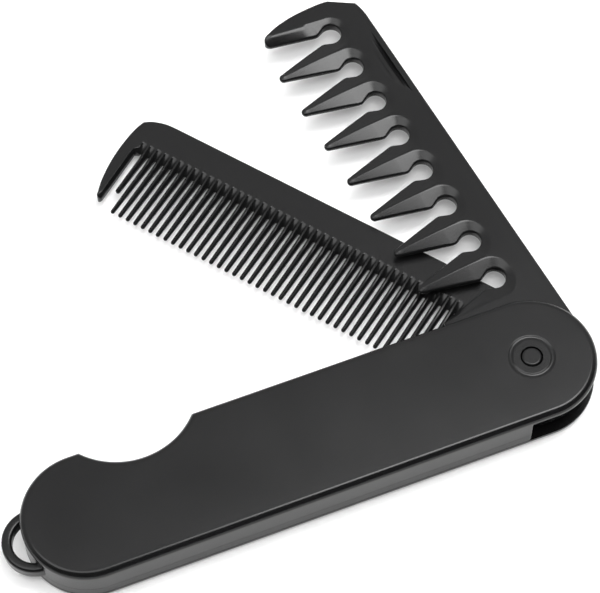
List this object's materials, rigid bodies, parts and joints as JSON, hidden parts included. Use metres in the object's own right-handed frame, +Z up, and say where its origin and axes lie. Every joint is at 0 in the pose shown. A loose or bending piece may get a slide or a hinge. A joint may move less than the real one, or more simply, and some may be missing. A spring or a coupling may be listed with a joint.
{
  "type": "folding comb",
  "caption": "Folding pocket comb: a fine-toothed and a wide-toothed blade swing on one pivot out of a slotted plastic handle with a finger notch and a cord loop.",
  "frame": {"origin": "where the pivot's axis meets the flat underside of the handle", "axes": "-X runs from the pivot along the handle to the cord loop, +Y is the side that the blades swing out of, +Z is up along the pivot, away from the surface it lies on"},
  "size_m": [0.15, 0.1323, 0.0131],
  "materials": {
    "handle_plastic": "satin",
    "pin_plastic": "satin",
    "fine_comb_plastic": "satin",
    "wide_comb_plastic": "satin"
  },
  "bodies": {
    "handle": {"top_shell": "handle_plastic", "bottom_shell": "handle_plastic", "pivot_pin": "pin_plastic"},
    "fine_blade": {"fine_comb": "fine_comb_plastic"},
    "wide_blade": {"wide_comb": "wide_comb_plastic"}
  },
  "joints": [
    {"name": "fine_hinge", "type": "hinge", "parent": "handle", "child": "fine_blade", "pos_m": [0, 0, 0.0044], "axis": [0, 0, -1], "range_deg": [-51.35, 128.65]},
    {"name": "wide_hinge", "type": "hinge", "parent": "handle", "child": "wide_blade", "pos_m": [0, 0, 0.0086], "axis": [0, 0, -1], "range_deg": [-82, 98]}
  ]
}
